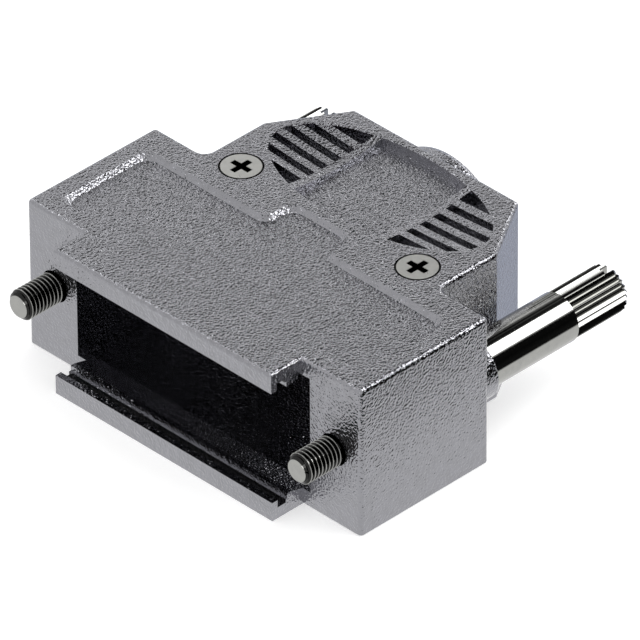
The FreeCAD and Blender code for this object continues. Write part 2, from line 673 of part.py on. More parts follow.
def build_clamp_saddle():
    """A bent strap over the cable: two flat ears on the posts and an arch between them."""
    body = new_body("clamp_saddle")
    ears = new_sketch(body, "saddle_ears", XZ, ("0", "0", "-clamp_back"))
    draw_rectangle(ears, "-" + SADDLE_END, CLAMP_POST_TOP, SADDLE_END, SADDLE_TOP)
    extrude(body, "Pad", ears, "saddle_width", both_ways=True)
    arch = new_sketch(body, "saddle_arch", XZ, ("0", "0", "-clamp_back"))
    draw_circle(arch, "0", PARTING, "%s + saddle_thickness" % CRADLE_RADIUS)
    extrude(body, "Pad", arch, "saddle_width", both_ways=True)
    inside = new_sketch(body, "saddle_inside", XZ, ("0", "0", "-clamp_back"))
    draw_circle(inside, "0", PARTING, CRADLE_RADIUS)
    extrude(body, "Pocket", inside, "2 * saddle_width", both_ways=True)
    below = new_sketch(body, "saddle_below", XZ, ("0", "0", "-clamp_back"))
    draw_rectangle(below, "-%s - 1" % SADDLE_END, "-1", SADDLE_END + " + 1", CLAMP_POST_TOP)
    extrude(body, "Pocket", below, "2 * saddle_width", both_ways=True)
    legs = new_sketch(body, "saddle_legs", XZ, ("0", "0", "-clamp_back"))
    draw_rectangle(legs, "-" + CRADLE_RADIUS, "0", CRADLE_RADIUS, PARTING)
    extrude(body, "Pocket", legs, "2 * saddle_width", both_ways=True)
    holes = new_sketch(body, "saddle_holes", XY, ("0", "0", SADDLE_TOP))
    for side in (-1, 1):
        draw_circle(holes, "%d * %s" % (side, CLAMP_ACROSS), "clamp_back",
                    "clamp_thread_radius + clamp_hole_gap")
    extrude(body, "Pocket", holes, "2 * saddle_thickness")
    return body


def build_clamp_screw(label, side):
    """A slotted cheese-head screw that holds one ear of the saddle."""
    body = new_body(label)
    profile = new_sketch(body, label + "_profile", XZ)
    draw_polygon(profile, [("0", "-clamp_screw_length"), ("clamp_thread_radius", "-clamp_screw_length"),
                           ("clamp_thread_radius", "0"), ("clamp_head_radius", "0"),
                           ("clamp_head_radius", "clamp_head_height"), ("0", "clamp_head_height")])
    turn(body, "Revolution", profile)
    slot = new_sketch(body, label + "_slot", XY, ("0", "0", "clamp_head_height"))
    draw_rectangle(slot, "-2 * clamp_head_radius", "-clamp_slot_width / 2",
                   "2 * clamp_head_radius", "clamp_slot_width / 2")
    extrude(body, "Pocket", slot, "clamp_slot_depth")
    bind(body, Placement__Base__x="%d * %s" % (side, CLAMP_ACROSS), Placement__Base__y="clamp_back",
         Placement__Base__z=SADDLE_TOP)
    return body


subparts = build_shells()
for side, hand in ((-1, "left"), (1, "right")):
    subparts.append(build_jackscrew(hand + "_jackscrew", side))
    subparts.append(build_retaining_ring(hand + "_retaining_ring", side))
    subparts.append(build_shell_screw(hand + "_shell_screw", side))
    subparts.append(build_clamp_screw(hand + "_clamp_screw", side))
subparts.append(build_clamp_saddle())
doc.recompute()

for item in doc.Objects:
    if "Invalid" in item.State or "Error" in item.State:
        raise RuntimeError("%s has failed: %s" % (item.Label, item.State))
for part in subparts:
    if part.Shape.isNull() or not part.Shape.isValid() or len(part.Shape.Solids) != 1:
        raise RuntimeError("%s isn't one valid solid" % part.Label)

os.makedirs("parts", exist_ok=True)
for part in subparts:
    part.Shape.exportStep("parts/%s.step" % part.Label)
    print("%-22s %9.2f mm3" % (part.Label, part.Shape.Volume))
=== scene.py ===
"""Looks of a cast metal D-sub connector hood with two knurled jackscrews, on a pale studio floor.

Every length is in metres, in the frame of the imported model: +X along the connector's width,
+Y from the mating side towards the cable, +Z up from the bottom face.
"""

import math

import bmesh
import bpy
from mathutils import Matrix, Vector


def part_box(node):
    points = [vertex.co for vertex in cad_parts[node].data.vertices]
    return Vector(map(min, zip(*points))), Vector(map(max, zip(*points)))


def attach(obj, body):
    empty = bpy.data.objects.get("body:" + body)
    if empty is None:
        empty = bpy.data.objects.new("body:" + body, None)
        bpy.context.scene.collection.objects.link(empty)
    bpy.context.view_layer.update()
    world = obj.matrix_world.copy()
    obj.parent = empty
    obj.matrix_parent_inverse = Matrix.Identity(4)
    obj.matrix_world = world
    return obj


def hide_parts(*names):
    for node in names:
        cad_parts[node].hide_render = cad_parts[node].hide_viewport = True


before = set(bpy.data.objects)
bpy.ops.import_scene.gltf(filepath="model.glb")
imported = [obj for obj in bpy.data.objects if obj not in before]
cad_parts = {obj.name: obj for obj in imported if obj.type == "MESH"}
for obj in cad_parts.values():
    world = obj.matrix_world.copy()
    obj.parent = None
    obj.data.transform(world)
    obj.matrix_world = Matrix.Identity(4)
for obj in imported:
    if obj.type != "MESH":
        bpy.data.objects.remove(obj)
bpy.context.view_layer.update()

MM = 0.001
HANDS = ("left", "right")

# Camera of the photograph
PHOTO_WIDTH = 640
VIEW_AZIMUTH = math.radians(45.41)
VIEW_ELEVATION = math.radians(35.318)
VIEW_ROLL = math.radians(-0.35)
VIEW_DISTANCE = 1.0781
VIEW_PIXELS_PER_METRE = 11864
VIEW_PIVOT = Vector((0, 15 * MM, 7 * MM))
VIEW_DROP = 1.864 * MM
SENSOR_WIDTH = 36

# Jackscrews
SCREW_LOW, SCREW_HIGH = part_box("right_jackscrew")
SCREW_ACROSS = (SCREW_LOW.x + SCREW_HIGH.x) / 2
SCREW_HEIGHT = (SCREW_LOW.z + SCREW_HIGH.z) / 2
SHANK_RADIUS = 2.35 * MM
SHANK_CHAMFER = 0.2 * MM
SHOULDER = 16.85 * MM
STEM_RADIUS = 1.42 * MM
RING_GROOVE_RADIUS = 1.0 * MM
RING_GROOVE_START = 4.55 * MM
RING_GROOVE_END = 5.15 * MM
STEM_START = 3.2 * MM
END_CHAMFER = 0.3 * MM
KNURL_LENGTH = 6.25 * MM
KNURL_RADIUS = 2.26 * MM
FLUTE_COUNT = 24
FLUTE_DEPTH = 0.28 * MM
FLUTED_ROWS = 4
COLUMNS_PER_FLUTE = 8
SLOT_WIDTH = 0.9 * MM
SLOT_DEPTH = 1.0 * MM
THREAD_RADIUS = 1.42 * MM
THREAD_DEPTH = 0.24 * MM
THREAD_PITCH = 0.42 * MM
THREAD_END = -0.1 * MM
TIP_CHAMFER = 0.4 * MM
ROWS_PER_TURN = 12
MERGE_DISTANCE = 0.0005 * MM
SHARP_ANGLE = math.radians(28)

# Shell screws
HEAD_LOW, HEAD_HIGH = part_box("right_shell_screw")
HEAD_ACROSS = (HEAD_LOW.x + HEAD_HIGH.x) / 2
HEAD_BACK = (HEAD_LOW.y + HEAD_HIGH.y) / 2
HEAD_RADIUS = (HEAD_HIGH.x - HEAD_LOW.x) / 2
HEAD_RIM = 0.07 * MM
CROSS_REACH = 1.3 * MM
CROSS_TOP = HEAD_HIGH.z - 0.06 * MM
SEAT_REACH = HEAD_RADIUS + 0.115 * MM

# Places on the shells where shade is painted into the casting's colour; across and rise count from the middle
# of the bay
BAY_ACROSS = 13.45 * MM
BAY_RISE = 5.375 * MM
BAY_END = 20 * MM
FLANGE_GROOVE_RISE = 6.32 * MM
FLANGE_GROOVE_FRONT = -2.92 * MM
FLANGE_GROOVE_BACK = -1.95 * MM
GRILLE_MIDDLE = 22.2 * MM
GRILLE_ACROSS = 12.2 * MM
GRILLE_DEEP = 5.9 * MM
GRILLE_SLOT_TOP = 13.95 * MM
GRILLE_SLOT_BOTTOM = SCREW_HEIGHT + BAY_RISE
GRILLE_SLOT_SHADE = 0.6

# Grain of the casting: cells and waves per metre, and a turn that keeps flat faces off its lattice
GRAIN_CELLS = 4000.0
GRAIN_CELL_SHARE = 0.6
GRAIN_WAVES = 4600.0
GRAIN_DEPTH = 0.08 * MM
GRAIN_TURN = (0.6, 0.4, 0.9)

# Metals: dark and light tone, least and most roughness, and the clouds between them in waves per metre
CAST_TONES = ((0.32, 0.32, 0.34), (0.35, 0.35, 0.375))
CAST_ROUGHNESS = (0.05, 0.09)
CAST_CLOUDS = 1100.0
HEAD_TONES = ((0.49, 0.49, 0.47), (0.55, 0.55, 0.525))
HEAD_ROUGHNESS = (0.25, 0.33)
HEAD_CLOUDS = 1500.0
HEAD_RIPPLE_DEPTH = 0.004 * MM
PLATE_TONES = ((0.38, 0.38, 0.366), (0.42, 0.42, 0.4))
PLATE_ROUGHNESS = (0.05, 0.1)
PLATE_CLOUDS = 1500.0
PLATE_RIPPLE_DEPTH = 0.002 * MM
STEEL_DARKER = 0.85
STEEL_ROUGHER = 0.08
STEEL_CLOUDS = 1200.0
STEEL_RIPPLE_DEPTH = 0.006 * MM
CLOUD_LOW, CLOUD_HIGH = 0.3, 0.7

# Painted shade in the metals' seats, recesses, slots and grooves
SEAT_PAINTED_SHADE = (0.005, 0.005, 0.005)
SHADED_CAST_TONE = (0.08, 0.08, 0.085)
GRILLE_SLOT_PAINTED_SHADE = (0.04, 0.04, 0.045)
RECESS_PAINTED_SHADE = (0.004, 0.004, 0.004)
GROOVE_PAINTED_SHADE = (0.01, 0.01, 0.01)
GROOVE_SHARE = 0.95

# Painted shade at the bottoms of the jackscrews' grooves: dark up to the dark radius and bright from the
# bright one on.
# Inside the inner radius the slot's walls stay bright
THREAD_DARK_RADIUS = THREAD_RADIUS - 0.08 * MM
THREAD_BRIGHT_RADIUS = THREAD_RADIUS - 0.01 * MM
THREAD_DARK_START = SCREW_LOW.y + 0.02 * MM
FLUTE_DARK_RADIUS = KNURL_RADIUS - FLUTE_DEPTH
FLUTE_BRIGHT_RADIUS = FLUTE_DARK_RADIUS + 0.4 * FLUTE_DEPTH
FLUTE_INNER_RADIUS = FLUTE_DARK_RADIUS - 0.03 * MM
FLUTE_DARK_START = SCREW_HIGH.y - KNURL_LENGTH + 0.01 * MM

# Studio: strengths of light, and the tones and places of the floor that mirrored rays see
SURROUND_STRENGTH = 0.95
FLOOR_TONE = (0.88, 0.88, 0.88)
FLOOR_LIFT = 0.42
FLOOR_REACH = 2.0
MIRRORED_FLOOR_TONE = (0.93, 0.93, 0.93)
BACK_TONE = (0.5, 0.53, 0.62)
BACK_ACROSS = 16 * MM
BACK_START = 31 * MM
MAT_TONE = (0.01, 0.01, 0.01)
MAT_EDGE_START = 33 * MM
MAT_EDGE_END = 40 * MM
MAT_FRONT = -60 * MM
LAMP_AZIMUTH = 44.6
LAMP_ELEVATION = 55
LAMP_DISTANCE = 0.35
LAMP_SIZE = 0.3
LAMP_POWER = 0.5

# Tent, which only mirrored rays see. A patch is an azimuth, an elevation, the radius of its even middle
# and its outer radius, all in degrees, and a brightness; later patches lie over earlier ones
TENT_RADIUS = 0.6
TENT_BRIGHTNESS = 0.81
TENT_PATCHES = (
    (95, 62, 24, 32, 0.05),
    (36, 5, 24, 30, 0.006),
    (58, 48, 15, 18, 4.5),
    (-64, 24, 8, 11, 4.0),
    (180, 54, 6, 9, 3.0),
    (107, 18, 5, 9, 3.5),
)
FOLD_SCALE = 18.0
FOLD_LOW, FOLD_HIGH = 0.4, 0.6
FOLD_SWING = 0.98
FOLD_SWING_ELSEWHERE = 0.25
FOLD_PATCH = (135, 35, 20, 45)


class Socket:
    """An output of a node; arithmetic on it adds Math nodes to the same tree."""

    def __init__(self, graph, node, link):
        self.graph = graph
        self.node = node
        self.link = link

    def out(self, name):
        return Socket(self.graph, self.node, self.node.outputs[name])

    def maths(self, operation, *others):
        return self.graph.node("ShaderNodeMath", {"operation": operation},
                               dict(enumerate((self,) + others)))

    def __add__(self, other):
        return self.maths("ADD", other)

    def __radd__(self, other):
        return self.maths("ADD", other)

    def __mul__(self, other):
        return self.maths("MULTIPLY", other)

    def __rmul__(self, other):
        return self.maths("MULTIPLY", other)

    def __sub__(self, other):
        return self.maths("SUBTRACT", other)

    def __rsub__(self, other):
        return self.graph.node("ShaderNodeMath", {"operation": "SUBTRACT"}, {0: other, 1: self})

    def __truediv__(self, other):
        return self.maths("DIVIDE", other)


class Graph:
    """Builds nodes in one node tree."""

    def __init__(self, tree):
        self.tree = tree

    def node(self, kind, settings=None, sockets=None, output=0):
        """Adds a node: its settings first, then a value or a link for each named or numbered socket."""
        made = self.tree.nodes.new(kind)
        for name, value in (settings or {}).items():
            if name == "stops":
                self.set_stops(made.color_ramp, value)
            else:
                setattr(made, name, value)
        for name, value in (sockets or {}).items():
            self.feed(made.inputs[name], value)
        return Socket(self, made, made.outputs[output] if made.outputs else None)

    def feed(self, target, value):
        if isinstance(value, Socket):
            self.tree.links.new(value.link, target)
        else:
            target.default_value = value

    def set_stops(self, ramp, stops):
        while len(ramp.elements) > len(stops):
            ramp.elements.remove(ramp.elements[-1])
        while len(ramp.elements) < len(stops):
            ramp.elements.new(1)
        for element, (position, colour) in zip(ramp.elements, stops):
            element.position = position
            element.color = (*colour, 1)


def new_material(name):
    """A material with an empty tree, and the graph that fills it."""
    material = bpy.data.materials.new(name)
    material.use_nodes = True
    material.node_tree.nodes.clear()
    return material, Graph(material.node_tree)


def finish_metal(graph, **sockets):
    """Closes a metal: sockets are Principled BSDF inputs with underscores for spaces."""
    named = {name.replace("_", " "): value for name, value in sockets.items()}
    surface = graph.node("ShaderNodeBsdfPrincipled", {}, {"Metallic": 1.0, **named})
    graph.node("ShaderNodeOutputMaterial", {}, {"Surface": surface})


def object_position(graph):
    return graph.node("ShaderNodeTexCoord", output="Object")


def noise(graph, place, scale, detail):
    return graph.node("ShaderNodeTexNoise", {}, {"Vector": place, "Scale": scale, "Detail": detail})


def tones_by_cloud(graph, cloud, tones):
    """A colour between a dark and a light tone, as the cloud says."""
    dark, light = tones
    return graph.node("ShaderNodeValToRGB", {"stops": [(CLOUD_LOW, dark), (CLOUD_HIGH, light)]}, {0: cloud})


def blend_colours(graph, share, first, second):
    """Mixes two colours, each a link or three numbers."""
    pair = [colour if isinstance(colour, Socket) else (*colour, 1) for colour in (first, second)]
    return graph.node("ShaderNodeMix", {"data_type": "RGBA"}, {0: share, 6: pair[0], 7: pair[1]}, output=2)


def bumps(graph, height, depth):
    """The surface's direction where a height of 1 rises by the depth."""
    return graph.node("ShaderNodeBump", {}, {"Height": height, "Distance": depth, "Strength": 1.0})


def between(share, low, high):
    """A level between two numbers, as the share says."""
    return low + share * (high - low)


def ease(graph, value, start, end, first=0.0, last=1.0):
    """Goes smoothly from the first level to the last while the value goes from start to end."""
    return graph.node("ShaderNodeMapRange", {"interpolation_type": "SMOOTHSTEP"},
                      {0: value, 1: start, 2: end, 3: first, 4: last})


def below(value, limit):
    """1 where a value is under a limit, else 0."""
    return value.maths("LESS_THAN", limit)


def above(value, limit):
    """1 where a value is over a limit, else 0."""
    return value.maths("GREATER_THAN", limit)


def from_middle(across, along):
    """Distance from a middle, from the two distances square to each other."""
    return (across * across + along * along).maths("SQRT")


def from_head_middle(parts):
    """Distance from the middle of the nearer shell screw, seen from above."""
    return from_middle(parts.out("X").maths("ABSOLUTE") - HEAD_ACROSS, parts.out("Y") - HEAD_BACK)


def cast_metal():
    """Satin grey die casting with a fine hammered grain.

    Shade is painted into its colour in the screws' seats, in the bay with its flange grooves and in the
    grille's slots.
    """
    material, graph = new_material("cast_metal")
    place = object_position(graph)
    parts = graph.node("ShaderNodeSeparateXYZ", {}, {0: place})
    across = parts.out("X").maths("ABSOLUTE")
    back, height = parts.out("Y"), parts.out("Z")
    rise = (height - SCREW_HEIGHT).maths("ABSOLUTE")

    turned = graph.node("ShaderNodeMapping", {}, {"Vector": place, "Rotation": GRAIN_TURN})
    cells = graph.node("ShaderNodeTexVoronoi", {"feature": "SMOOTH_F1"},
                       {"Vector": turned, "Scale": GRAIN_CELLS, "Smoothness": 0.5}, output="Distance")
    waves = noise(graph, turned, GRAIN_WAVES, detail=1.0)
    grain = bumps(graph, cells * GRAIN_CELL_SHARE + waves, GRAIN_DEPTH)

    shade = tones_by_cloud(graph, noise(graph, place, CAST_CLOUDS, detail=2.0), CAST_TONES)
    # Painted shade: the seat round each shell screw's head is near black
    in_seat = below(from_head_middle(parts), SEAT_REACH)
    shade = blend_colours(graph, in_seat, shade, SEAT_PAINTED_SHADE)
    # Painted shade in the bay and its flange grooves
    in_bay = below(across, BAY_ACROSS) * below(rise, BAY_RISE) * below(back, BAY_END)
    in_groove = below(rise, FLANGE_GROOVE_RISE) * below(back, FLANGE_GROOVE_BACK)
    in_groove = in_groove * above(back, FLANGE_GROOVE_FRONT)
    shade = blend_colours(graph, in_bay.maths("MAXIMUM", in_groove), shade, SHADED_CAST_TONE)
    # Painted shade in the grille's slots
    oval_x = across / GRILLE_ACROSS
    oval_y = (back - GRILLE_MIDDLE) / GRILLE_DEEP
    in_slot = below(oval_x * oval_x + oval_y * oval_y, 1.0) * below(height, GRILLE_SLOT_TOP)
    in_slot = in_slot * above(height, GRILLE_SLOT_BOTTOM)
    shade = blend_colours(graph, in_slot * GRILLE_SLOT_SHADE, shade, GRILLE_SLOT_PAINTED_SHADE)
    finish_metal(graph, Base_Color=shade, Roughness=between(waves, *CAST_ROUGHNESS), Normal=grain)
    return material


def screw_head():
    """Satin plated steel, with painted shade making its cross recess and a thin rim round its edge near
    black.
    """
    material, graph = new_material("screw_head")
    place = object_position(graph)
    parts = graph.node("ShaderNodeSeparateXYZ", {}, {0: place})
    reach = from_head_middle(parts)
    # Painted shade: the cross recess and a thin rim round the head are near black
    in_cross = below(parts.out("Z"), CROSS_TOP) * below(reach, CROSS_REACH)
    on_rim = above(reach, HEAD_RADIUS - HEAD_RIM)
    cloud = noise(graph, place, HEAD_CLOUDS, detail=3.0)
    shade = tones_by_cloud(graph, cloud, HEAD_TONES)
    shade = blend_colours(graph, in_cross.maths("MAXIMUM", on_rim), shade, RECESS_PAINTED_SHADE)
    finish_metal(graph, Base_Color=shade, Roughness=between(cloud, *HEAD_ROUGHNESS),
                 Normal=bumps(graph, cloud, HEAD_RIPPLE_DEPTH))
    return material


def bright_plate():
    """Nickel plate of the jackscrews, with shade painted dark into the bottom of the thread's and the knurl's
    grooves.
    """
    material, graph = new_material("bright_plate")
    place = object_position(graph)
    parts = graph.node("ShaderNodeSeparateXYZ", {}, {0: place})
    along = parts.out("Y")
    radius = from_middle(parts.out("X").maths("ABSOLUTE") - SCREW_ACROSS, parts.out("Z") - SCREW_HEIGHT)

    # Painted shade at the bottoms of the thread's and the knurl's grooves
    in_thread = ease(graph, radius, THREAD_DARK_RADIUS, THREAD_BRIGHT_RADIUS, 1.0, 0.0)
    in_thread = in_thread * above(along, THREAD_DARK_START) * below(along, 0.0)
    in_flute = ease(graph, radius, FLUTE_DARK_RADIUS, FLUTE_BRIGHT_RADIUS, 1.0, 0.0)
    in_flute = in_flute * above(radius, FLUTE_INNER_RADIUS) * above(along, FLUTE_DARK_START)

    cloud = noise(graph, place, PLATE_CLOUDS, detail=3.0)
    shade = tones_by_cloud(graph, cloud, PLATE_TONES)
    shade = blend_colours(graph, in_thread.maths("MAXIMUM", in_flute) * GROOVE_SHARE, shade, GROOVE_PAINTED_SHADE)
    finish_metal(graph, Base_Color=shade, Roughness=between(cloud, *PLATE_ROUGHNESS),
                 Normal=bumps(graph, cloud, PLATE_RIPPLE_DEPTH))
    return material


def satin_steel(name, tone, roughness):
    """Plated steel with faint clouds in its tone."""
    material, graph = new_material(name)
    cloud = noise(graph, object_position(graph), STEEL_CLOUDS, detail=3.0)
    shade = tones_by_cloud(graph, cloud, (tuple(part * STEEL_DARKER for part in tone), tone))
    finish_metal(graph, Base_Color=shade, Roughness=between(cloud, roughness, roughness + STEEL_ROUGHER),
                 Normal=bumps(graph, cloud, STEEL_RIPPLE_DEPTH))
    return material


def dress(node, material):
    """Gives a carried-over node one material."""
    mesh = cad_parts[node].data
    mesh.materials.clear()
    mesh.materials.append(material)


def jackscrew_rows(tip, end):
    """Stations (radius, y) from the tip to the slotted end, and how many of them wind with the thread.

    The last FLUTED_ROWS stations are the knurl's, which the flutes cut, and the end's middle.
    """
    crest, flank, root = 1 / 8, 5 / 16, 1 / 4
    shape = [(0, 0), (crest, 0), (crest + flank, 1), (crest + flank + root, 1), (1, 0)]
    wound = []
    turns = math.ceil((THREAD_END - tip) / THREAD_PITCH) + 1
    for step in range(turns * ROWS_PER_TURN + 1):
        share = step % ROWS_PER_TURN / ROWS_PER_TURN
        low, high = next((a, b) for a, b in zip(shape, shape[1:]) if a[0] <= share < b[0])
        depth = low[1] + (high[1] - low[1]) * (share - low[0]) / (high[0] - low[0])
        wound.append((THREAD_RADIUS - depth * THREAD_DEPTH, tip + (step / ROWS_PER_TURN - 1) * THREAD_PITCH))
    root_radius = THREAD_RADIUS - THREAD_DEPTH
    turned = [(root_radius, THREAD_END), (root_radius, STEM_START), (STEM_RADIUS, STEM_START),
              (STEM_RADIUS, RING_GROOVE_START), (RING_GROOVE_RADIUS, RING_GROOVE_START),
              (RING_GROOVE_RADIUS, RING_GROOVE_END), (STEM_RADIUS, RING_GROOVE_END),
              (STEM_RADIUS, SHOULDER), (SHANK_RADIUS - SHANK_CHAMFER, SHOULDER),
              (SHANK_RADIUS, SHOULDER + SHANK_CHAMFER), (SHANK_RADIUS, end - KNURL_LENGTH),
              (KNURL_RADIUS, end - KNURL_LENGTH), (KNURL_RADIUS, end - END_CHAMFER),
              (KNURL_RADIUS - END_CHAMFER, end), (0, end)]
    return [(0, tip)] + wound + turned, len(wound) + 1


def jackscrew_tree():
    """Turns a profile about the Y axis, winds its thread rows, cuts knurl flutes and the screwdriver slot."""
    tree = bpy.data.node_groups.new("jackscrew", "GeometryNodeTree")
    tree.interface.new_socket("Geometry", in_out="OUTPUT", socket_type="NodeSocketGeometry")
    tree.interface.new_socket("Profile", in_out="INPUT", socket_type="NodeSocketGeometry")
    for name in ("Rows", "Columns", "Wound Rows"):
        tree.interface.new_socket(name, in_out="INPUT", socket_type="NodeSocketInt")
    for name in ("Pitch", "Tip", "Thread End", "Tip Radius", "Root Radius", "Flute Count", "Flute Depth",
                 "Flute Start", "Slot Width", "Slot Depth", "End", "Widest"):
        tree.interface.new_socket(name, in_out="INPUT", socket_type="NodeSocketFloat")
    tree.interface.new_socket("Material", in_out="INPUT", socket_type="NodeSocketMaterial")
    graph = Graph(tree)
    given = graph.node("NodeGroupInput")
    rows, columns = given.out("Rows"), given.out("Columns")

    sheet = graph.node("GeometryNodeMeshGrid", {}, {"Vertices X": columns + 1, "Vertices Y": rows})
    index = graph.node("GeometryNodeInputIndex")
    column = (index / rows).maths("FLOOR")
    row = index - column * rows
    station = graph.node("GeometryNodeSampleIndex", {"data_type": "FLOAT_VECTOR"},
                         {"Geometry": given.out("Profile"), "Index": row,
                          "Value": graph.node("GeometryNodeInputPosition")})
    parts = graph.node("ShaderNodeSeparateXYZ", {}, {0: station})
    radius, along = parts.out("X"), parts.out("Y")

    turn = column / columns
    wound = below(row, given.out("Wound Rows")) * above(row, 0.5)
    wound_y = (along + turn * given.out("Pitch")).maths("MAXIMUM", given.out("Tip"))
    wound_y = wound_y.maths("MINIMUM", given.out("Thread End"))
    front_cone = given.out("Tip Radius") + (wound_y - given.out("Tip"))
    back_cone = given.out("Root Radius") + (given.out("Thread End") - wound_y)
    wound_radius = radius.maths("MINIMUM", front_cone).maths("MINIMUM", back_cone)

    place_in_flute = (turn * given.out("Flute Count")).maths("FRACT")
    hollow = 1 - (place_in_flute - 0.5).maths("ABSOLUTE") * 2
    fluted = above(row, given.out("Flute Start"))
    on_rim = above(radius, given.out("Root Radius"))
    cut_radius = radius - hollow * given.out("Flute Depth") * fluted * on_rim

    final_radius = wound_radius * wound + cut_radius * (1 - wound)
    final_y = wound_y * wound + along * (1 - wound)
    angle = turn * math.tau
    place = graph.node("ShaderNodeCombineXYZ", {}, {0: final_radius * angle.maths("COSINE"), 1: final_y,
                                                   2: final_radius * angle.maths("SINE")})
    shaped = graph.node("GeometryNodeSetPosition", {}, {"Geometry": sheet, "Position": place})
    closed = graph.node("GeometryNodeMergeByDistance", {}, {"Geometry": shaped, "Distance": MERGE_DISTANCE})

    cutter_size = graph.node("ShaderNodeCombineXYZ", {}, {0: given.out("Slot Width"),
                                                         1: given.out("Slot Depth") * 2,
                                                         2: given.out("Widest") * 3})
    cutter = graph.node("GeometryNodeMeshCube", {}, {"Size": cutter_size})
    cutter_place = graph.node("ShaderNodeCombineXYZ", {}, {1: given.out("End")})
    cutter = graph.node("GeometryNodeTransform", {}, {"Geometry": cutter, "Translation": cutter_place})
    slotted = graph.node("GeometryNodeMeshBoolean", {"operation": "DIFFERENCE"},
                         {"Mesh 1": closed, "Mesh 2": cutter})
    real = graph.node("GeometryNodeRealizeInstances", {}, {"Geometry": slotted})
    painted = graph.node("GeometryNodeSetMaterial", {}, {"Geometry": real, "Material": given.out("Material")})
    graph.node("NodeGroupOutput", {}, {"Geometry": painted})
    return tree


def set_inputs(modifier, values):
    """Sets a modifier's inputs by their names in the tree's interface."""
    for item in modifier.node_group.interface.items_tree:
        if item.in_out == "INPUT" and item.name in values:
            modifier[item.identifier] = values[item.name]


def plain_copy(carrier, name):
    """A plain mesh object made from what the carrier's modifiers give; the carrier is removed."""
    bpy.context.view_layer.update()
    graph = bpy.context.evaluated_depsgraph_get()
    mesh = bpy.data.meshes.new_from_object(carrier.evaluated_get(graph))
    bpy.data.objects.remove(carrier)
    piece = bpy.data.objects.new(name, mesh)
    bpy.context.scene.collection.objects.link(piece)
    return piece


def add_jackscrew(hand, tree, material):
    """One jackscrew, in the place of its plain turned stand-in."""
    node = hand + "_jackscrew"
    low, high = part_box(node)
    rows, wound_rows = jackscrew_rows(low.y, high.y)
    profile = bpy.data.meshes.new(node + "_profile")
    profile.from_pydata([(radius, along, 0) for radius, along in rows],
                        [(place, place + 1) for place in range(len(rows) - 1)], [])
    carrier = bpy.data.objects.new(node + "_profile", profile)
    bpy.context.scene.collection.objects.link(carrier)
    modifier = carrier.modifiers.new("jackscrew", "NODES")
    modifier.node_group = tree
    set_inputs(modifier, {
        "Rows": len(rows), "Columns": FLUTE_COUNT * COLUMNS_PER_FLUTE, "Wound Rows": wound_rows,
        "Pitch": THREAD_PITCH, "Tip": low.y, "Thread End": THREAD_END,
        "Tip Radius": THREAD_RADIUS - TIP_CHAMFER, "Root Radius": THREAD_RADIUS - THREAD_DEPTH,
        "Flute Count": float(FLUTE_COUNT), "Flute Depth": FLUTE_DEPTH,
        "Flute Start": len(rows) - FLUTED_ROWS - 0.5, "Slot Width": SLOT_WIDTH, "Slot Depth": SLOT_DEPTH,
        "End": high.y, "Widest": SHANK_RADIUS, "Material": material})
    piece = plain_copy(carrier, hand + "_knurled_jackscrew")
    mesh = piece.data
    mesh.transform(Matrix.Translation(((low.x + high.x) / 2, 0, (low.z + high.z) / 2)))
    mesh.polygons.foreach_set("use_smooth", [True] * len(mesh.polygons))
    mesh.set_sharp_from_angle(angle=SHARP_ANGLE)
    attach(piece, hand + "_jackscrew")
    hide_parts(node)


def add_camera():
    """The photograph's camera: long lens, looking down on the mating side from the right."""
    away = Vector((math.sin(VIEW_AZIMUTH) * math.cos(VIEW_ELEVATION),
                   -math.cos(VIEW_AZIMUTH) * math.cos(VIEW_ELEVATION), math.sin(VIEW_ELEVATION)))
    level = Vector((math.cos(VIEW_AZIMUTH), math.sin(VIEW_AZIMUTH), 0))
    upright = away.cross(level)
    right = level * math.cos(VIEW_ROLL) + upright * math.sin(VIEW_ROLL)
    upwards = away.cross(right)
    camera = bpy.data.objects.new("camera", bpy.data.cameras.new("camera"))
    bpy.context.scene.collection.objects.link(camera)
    camera.data.sensor_width = SENSOR_WIDTH
    camera.data.lens = VIEW_PIXELS_PER_METRE * VIEW_DISTANCE * SENSOR_WIDTH / PHOTO_WIDTH
    camera.data.clip_start = VIEW_DISTANCE / 10
    camera.data.clip_end = VIEW_DISTANCE * 10
    turn = Matrix((right, upwards, away)).transposed().to_4x4()
    turn.translation = VIEW_PIVOT - upwards * VIEW_DROP + away * VIEW_DISTANCE
    camera.matrix_world = turn
    bpy.context.scene.camera = camera


def add_world():
    """A white surround for camera, mirrored and transmitted rays, and an even light for the rest.

    Mirrored rays meet the tent or the floor before it.
    """
    world = bpy.data.worlds.new("studio")
    world.use_nodes = True
    world.node_tree.nodes.clear()
    bpy.context.scene.world = world
    graph = Graph(world.node_tree)
    path = graph.node("ShaderNodeLightPath")
    shown = path.out("Is Camera Ray").maths("MAXIMUM", path.out("Is Glossy Ray"))
    shown = shown.maths("MAXIMUM", path.out("Is Transmission Ray"))
    even = graph.node("ShaderNodeBackground", {}, {"Color": (1, 1, 1, 1), "Strength": SURROUND_STRENGTH})
    white = graph.node("ShaderNodeBackground", {}, {"Color": (1, 1, 1, 1), "Strength": 1.0})
    surround = graph.node("ShaderNodeMixShader", {}, {0: shown, 1: even, 2: white})
    graph.node("ShaderNodeOutputWorld", {}, {"Surface": surround})


def mirrored_floor(graph):
    """The floor as mirrored rays see it: evenly lit, blue-grey at the back left, a dark mat on the right."""
    parts = graph.node("ShaderNodeSeparateXYZ", {}, {0: object_position(graph)})
    across, back = parts.out("X"), parts.out("Y")
    at_back = below(across, BACK_ACROSS) * above(back, BACK_START)
    tone = blend_colours(graph, at_back, MIRRORED_FLOOR_TONE, BACK_TONE)
    on_mat = ease(graph, across, MAT_EDGE_START, MAT_EDGE_END) * above(back, MAT_FRONT)
    tone = blend_colours(graph, on_mat, tone, MAT_TONE)
    return graph.node("ShaderNodeEmission", {}, {"Color": tone, "Strength": 1.0})


